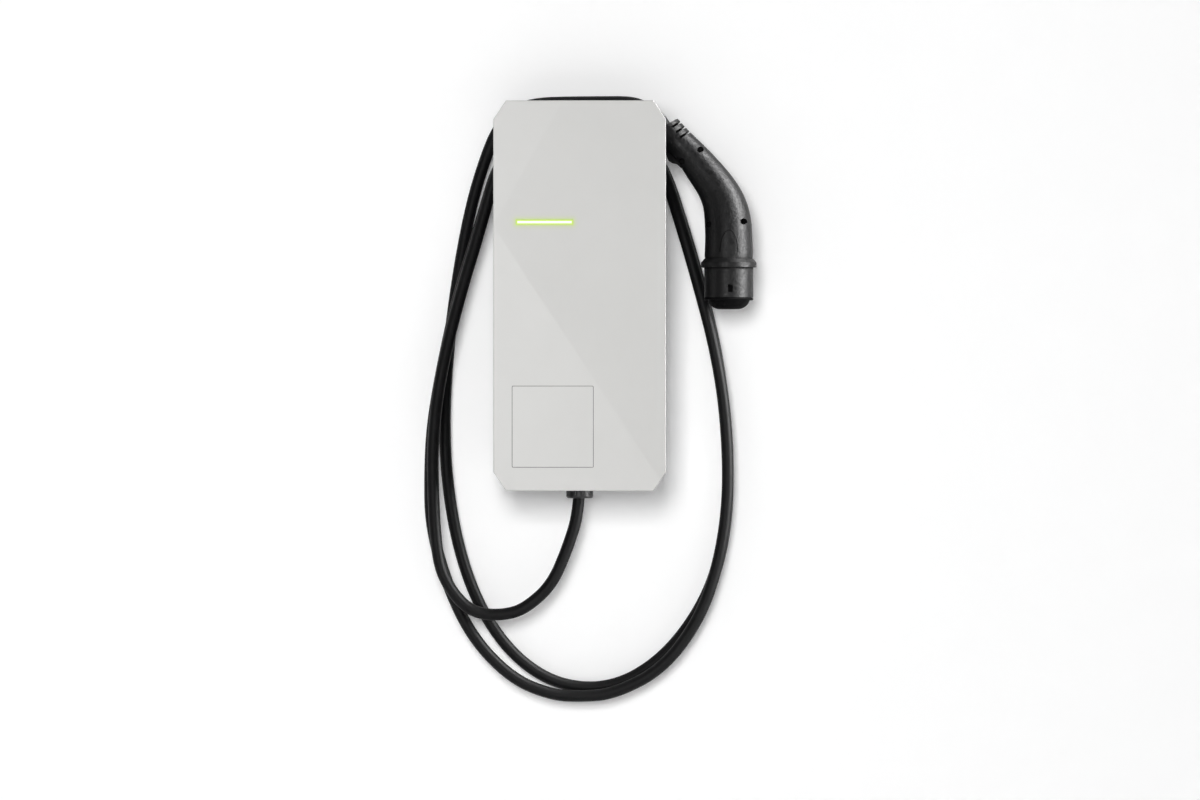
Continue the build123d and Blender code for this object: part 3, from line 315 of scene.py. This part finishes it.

# %% The painted glow on the shell
shell_shader = shell.node_tree.nodes["Principled BSDF"]
shell_link = shell.node_tree.links.new
# Painted light: near the bar the shell's colour turns green-yellow and it gives off green light.
steps = maths(shell, "MULTIPLY", distance_from_bar(shell), -1 / GLOW_REACH)
fade = maths(shell, "POWER", EULER, steps)
plain_skin = shell_shader.inputs["Base Color"].links[0].from_socket
shell_link(mixed(shell, fade, plain_skin, LIT_SHELL), shell_shader.inputs["Base Color"])
shell_shader.inputs["Emission Color"].default_value = GLOW_GREEN
shell_link(maths(shell, "MULTIPLY", fade, GLOW_STRENGTH), shell_shader.inputs["Emission Strength"])
print("glow reaches, mm:", GLOW_REACH * MM_PER_METRE)

# %% [markdown]
# ## The light bar
#
# The bar is a strip of milky plastic with lamps behind it. Its middle is so bright that it looks
# white, and the colour shows only along its rim. So the bar glows evenly, and the colour of its
# glow turns from white to green near the edge. Its own plastic is dark, because a pale one would
# add the studio's light to the rim and wash its colour out.

# %% The light bar
WHITE = (1, 1, 1, 1)
RIM_GREEN = (0.62, 0.86, 0.16, 1)
RIM_START, RIM_END = 0.0011, 0.0016
BAR_STRENGTH = 1.05

bar = bpy.data.materials.new("light_bar")
bar.use_nodes = True
bar_shader = bar.node_tree.nodes["Principled BSDF"]
bar_link = bar.node_tree.links.new
half_core = BAR_WIDTH / 2 - BAR_HEIGHT / 2
from_middle = from_bar_middle(bar, "Z", BAR_Z)
from_end = maths(bar, "SUBTRACT", from_bar_middle(bar, "X", BAR_X), half_core)
rim = spread(bar, maths(bar, "MAXIMUM", from_middle, from_end), 0, 1, RIM_START, RIM_END)
bar_link(mixed(bar, rim, WHITE, RIM_GREEN), bar_shader.inputs["Emission Color"])
bar_shader.inputs["Emission Strength"].default_value = BAR_STRENGTH
bar_shader.inputs["Base Color"].default_value = from_screen(30, 38, 14) + [1]
milk = add_node(bar, "ShaderNodeBump", Distance=0.00002, Strength=1.0)
bar_link(speckle(bar, 0.0006, 2), milk.inputs["Height"])
bar_link(milk.outputs["Normal"], bar_shader.inputs["Normal"])
bar_link(spread(bar, speckle(bar, 0.003), 0.25, 0.4), bar_shader.inputs["Roughness"])
finish(bar, "light_guide")

# %% [markdown]
# ## The cable's jacket
#
# The jacket is black rubber. It is matt, with a faint dust of lighter specks and very shallow waves
# from the press that it was drawn through, so its highlight is broad and slightly uneven.

# %% The jacket
jacket = moulded("cable_jacket", from_screen(12, 12, 13), 0.5, tint=0.2, tint_size=0.03, patch=0.06,
                 patch_size=0.003, grain=0.00004, grain_size=0.0009, specular=0.15)
cable.data.materials.append(jacket)

# %% [markdown]
# ## The connector
#
# The handle is moulded in two dark halves. Hands have polished it in patches, so its shine is mottled:
# a noise of a few millimetres with much detail, over a wide span of roughness, and bumps of the same
# size. The nose is of the same plastic, a little smoother, and the cap over its end is soft, deep
# black rubber that hardly shines.

# %% Handle, nose and cap
BLACK_PLASTIC = from_screen(12, 12, 13)
# groove paints shade into the slots, seams and screw holes of handle and nose.
handle = moulded("handle_plastic", BLACK_PLASTIC, 0.44, tint=0.22, tint_size=0.012, patch=0.12,
                 patch_size=0.004, grain=0.0004, grain_size=0.0035, specular=0.22, groove=0.004)
finish(handle, "handle_front_shell", "handle_rear_shell")
nose = moulded("nose_plastic", BLACK_PLASTIC, 0.44, tint=0.2, tint_size=0.012, patch=0.1,
               patch_size=0.004, grain=0.0003, grain_size=0.0035, specular=0.22, groove=0.004)
finish(nose, "nose_shroud", "contact_carrier")
cap = moulded("cap_rubber", from_screen(9, 9, 10), 0.7, tint=0.15, tint_size=0.01, patch=0.08,
              patch_size=0.003, grain=0.00003, grain_size=0.0008, specular=0.05)
finish(cap, "protective_cap")

# %% [markdown]
# ## Metal, boards and the rest
#
# Behind the cover there are zinc-plated screws, silver-plated contacts, green boards and black
# blocks. Most of them are hidden, but whoever takes the model apart sees them from close by, so each
# has its own finish from the same recipe: metals have the metal value at one and a very fine grain,
# boards are smooth and glossy.

# %% Dark pieces of the body
body_plastic = moulded("housing_plastic", from_screen(48, 49, 51), 0.55, tint=0.1,
                       grain=0.00005, grain_size=0.0009)
finish(body_plastic, "base_housing", "front_flange")
plate_paint = moulded("plate_steel", from_screen(58, 60, 62), 0.6, tint=0.08, patch=0.06,
                      grain=0.00004, grain_size=0.0012)
finish(plate_paint, "wall_plate")
gland_plastic = moulded("gland_plastic", from_screen(34, 34, 35), 0.45, tint=0.12, patch=0.07,
                        grain=0.00003)
finish(gland_plastic, "cable_gland_body", "cable_gland_nut", "gland_locknut")
seal_rubber = moulded("seal_rubber", from_screen(36, 36, 36), 0.7, tint=0.12, patch=0.06,
                      grain=0.00004)
finish(seal_rubber, "housing_seal", "gland_sleeve", "supply_grommet")
# groove paints shade into the bushing's recesses.
bushing_rubber = moulded("bushing_rubber", from_screen(8, 8, 8), 0.8, tint=0.12, patch=0.06,
                         grain=0.00004, specular=0.04, groove=0.006)
finish(bushing_rubber, "cable_bushing")

# %% Metal, boards and blocks
zinc = moulded("screw_steel", from_screen(190, 190, 188), 0.3, tint=0.08, patch=0.08,
               patch_size=0.001, grain=0.00001, grain_size=0.0003, metal=1.0)
finish(zinc, "plate_screws", "flange_screws", "board_screws", "small_board_screws", "cover_clips")
dark_steel = moulded("dark_screw_steel", from_screen(9, 9, 9), 0.7, tint=0.1, patch=0.08,
                     patch_size=0.001, grain=0.00001, grain_size=0.0003, specular=0.06)
finish(dark_steel, "handle_screws")
silver = moulded("contact_metal", from_screen(222, 216, 204), 0.22, patch=0.06,
                 grain=0.000008, grain_size=0.0003, metal=1.0)
finish(silver, "power_contacts", "signal_contacts")
board = moulded("circuit_board", from_screen(34, 96, 58), 0.3, tint=0.25, tint_size=0.004,
                patch=0.1, grain=0.00003, grain_size=0.0012)
finish(board, "main_board", "status_board", "reader_board", "radio_module")
block = moulded("component_plastic", from_screen(44, 44, 46), 0.5, tint=0.1, patch=0.06)
finish(block, "charging_relays", "leakage_sensor")
clamp_plastic = moulded("terminal_plastic", from_screen(132, 138, 142), 0.48, tint=0.08, patch=0.06)
finish(clamp_plastic, "supply_terminals", "outlet_terminals")
fins = moulded("radiator", from_screen(196, 198, 200), 0.35, patch=0.06, metal=1.0)
finish(fins, "power_module")
lamp = moulded("lamp", from_screen(236, 244, 214), 0.3, tint=0.05)
lamp_shader = lamp.node_tree.nodes["Principled BSDF"]
lamp_shader.inputs["Emission Color"].default_value = from_screen(176, 232, 60) + [1]
lamp_shader.inputs["Emission Strength"].default_value = 0.8
finish(lamp, "status_lamps")

# %% [markdown]
# ## The studio
#
# The object hangs on a white wall above a pale floor. The wall is a real surface, so the box and the
# cable throw their soft shadow on it. To make it read as white paper without more light on the
# object, the wall also gives off a little light of its own, but only to rays that look at it.
# A wall would hide the back of the object from a camera behind it, so its rear side is clear. It also
# lets through the light of the lamp behind it, which reaches only the object's back.

# %% Wall and floor
def flat_sheet(name, corners):
    """A sheet with those four corners."""
    mesh = bpy.data.meshes.new(name)
    mesh.from_pydata(corners, [], [(0, 1, 2, 3)])
    sheet = bpy.data.objects.new(name, mesh)
    bpy.context.scene.collection.objects.link(sheet)
    return sheet


def paper(name, colour, own_light):
    """Matt paper that looks a little brighter than the light on it, and is clear from behind."""
    material = bpy.data.materials.new(name)
    material.use_nodes = True
    nodes, link = material.node_tree.nodes, material.node_tree.links.new
    shader = nodes["Principled BSDF"]
    shader.inputs["Roughness"].default_value = 0.9
    shader.inputs["Specular IOR Level"].default_value = 0.0
    shader.inputs["Base Color"].default_value = colour + [1]
    shader.inputs["Emission Color"].default_value = (1, 1, 1, 1)
    rays = add_node(material, "ShaderNodeLightPath")
    looking = maths(material, "MAXIMUM", rays.outputs["Is Camera Ray"], rays.outputs["Is Glossy Ray"])
    looking = maths(material, "MAXIMUM", looking, rays.outputs["Is Transmission Ray"])
    link(maths(material, "MULTIPLY", looking, own_light), shader.inputs["Emission Strength"])
    side = add_node(material, "ShaderNodeNewGeometry")
    clear = add_node(material, "ShaderNodeBsdfTransparent")
    choose = add_node(material, "ShaderNodeMixShader")
    see_through = maths(material, "MAXIMUM", side.outputs["Backfacing"], rays.outputs["Is Shadow Ray"])
    link(see_through, choose.inputs[0])
    link(shader.outputs[0], choose.inputs[1])
    link(clear.outputs[0], choose.inputs[2])
    link(choose.outputs[0], nodes["Material Output"].inputs["Surface"])
    return material


WALL_Y, FLOOR_Z, CEILING_Z = 0.0006, -1.1, 3
SIDE, ROOM_FRONT = 4, -5
foot_left, foot_right = (-SIDE, WALL_Y, FLOOR_Z), (SIDE, WALL_Y, FLOOR_Z)
wall = flat_sheet("wall", [foot_left, foot_right, (SIDE, WALL_Y, CEILING_Z), (-SIDE, WALL_Y, CEILING_Z)])
front_left, front_right = (-SIDE, ROOM_FRONT, FLOOR_Z), (SIDE, ROOM_FRONT, FLOOR_Z)
floor = flat_sheet("floor", [front_left, front_right, foot_right, foot_left])
white_paper = paper("wall_paper", [0.95, 0.95, 0.95], own_light=0.1)
wall.data.materials.append(white_paper)
floor.data.materials.append(white_paper)
print("wall at", WALL_Y, "floor at", FLOOR_Z)

# %% [markdown]
# ## The lamps
#
# The shadow on the wall is narrow and falls to the lower right, so the main lamp is large and stands
# near the camera's line, a little to the left and above. It gives nearly all the light that shapes
# the object, and no reflection.
# The reflections come from two lamps that only mirror: a tall one far to the right draws the long
# highlight down the outer side of cable and connector, and a small one on the left, near the camera,
# lifts the cover's two tilted facets. The sky gives the rest, at a plain low level, and a fourth lamp
# behind the wall is there for views from the back.

# %% Place the lamps
from mathutils import Vector

AIM = Vector((0.03, -0.06, -0.12))


def soft_lamp(name, place, width, height, watts):
    """A rectangular lamp that faces the object."""
    data = bpy.data.lights.new(name, "AREA")
    data.shape = "RECTANGLE"
    data.size = width
    data.size_y = height
    data.energy = watts
    lamp_object = bpy.data.objects.new(name, data)
    lamp_object.location = place
    lamp_object.rotation_euler = (AIM - Vector(place)).to_track_quat("-Z", "Y").to_euler()
    lamp_object.visible_camera = False
    bpy.context.scene.collection.objects.link(lamp_object)
    print(name, place, watts, "W")
    return lamp_object


main_lamp = soft_lamp("main_lamp", (-0.62, -6.0, 1.12), 1.8, 2.3, 252)
main_lamp.visible_glossy = False
side_shine = soft_lamp("side_shine", (2.5, -1.0, 1.1), 1.5, 4.0, 560)
side_shine.visible_diffuse = False
front_shine = soft_lamp("front_shine", (-1.7, -7.0, -0.1), 0.8, 0.8, 120)
front_shine.visible_diffuse = False
rear_lamp = soft_lamp("rear_lamp", (1.0, 3.4, 0.1), 0.8, 0.8, 9)
rear_lamp.visible_glossy = False
rear_lamp.data.spread = radians(34)

# %% The light all round
SKY_LEVEL = 0.11
SKY_SHINE = 0.08
SKY_SEEN = 0.92
sky = bpy.data.worlds.new("studio")
bpy.context.scene.world = sky
sky.use_nodes = True
sky.node_tree.nodes["Background"].inputs["Color"].default_value = (0.95, 0.95, 0.96, 1)
sky_rays = add_node(sky, "ShaderNodeLightPath").outputs
less_shine = maths(sky, "MULTIPLY", sky_rays["Is Glossy Ray"], SKY_LEVEL - SKY_SHINE)
more_seen = maths(sky, "MULTIPLY", sky_rays["Is Camera Ray"], SKY_SEEN - SKY_LEVEL)
sky_light = maths(sky, "ADD", maths(sky, "SUBTRACT", SKY_LEVEL, less_shine), more_seen)
sky.node_tree.links.new(sky_light, sky.node_tree.nodes["Background"].inputs["Strength"])
print("sky:", SKY_LEVEL, "mirrored:", SKY_SHINE, "seen:", SKY_SEEN)
bpy.context.scene.view_settings.view_transform = "Standard"
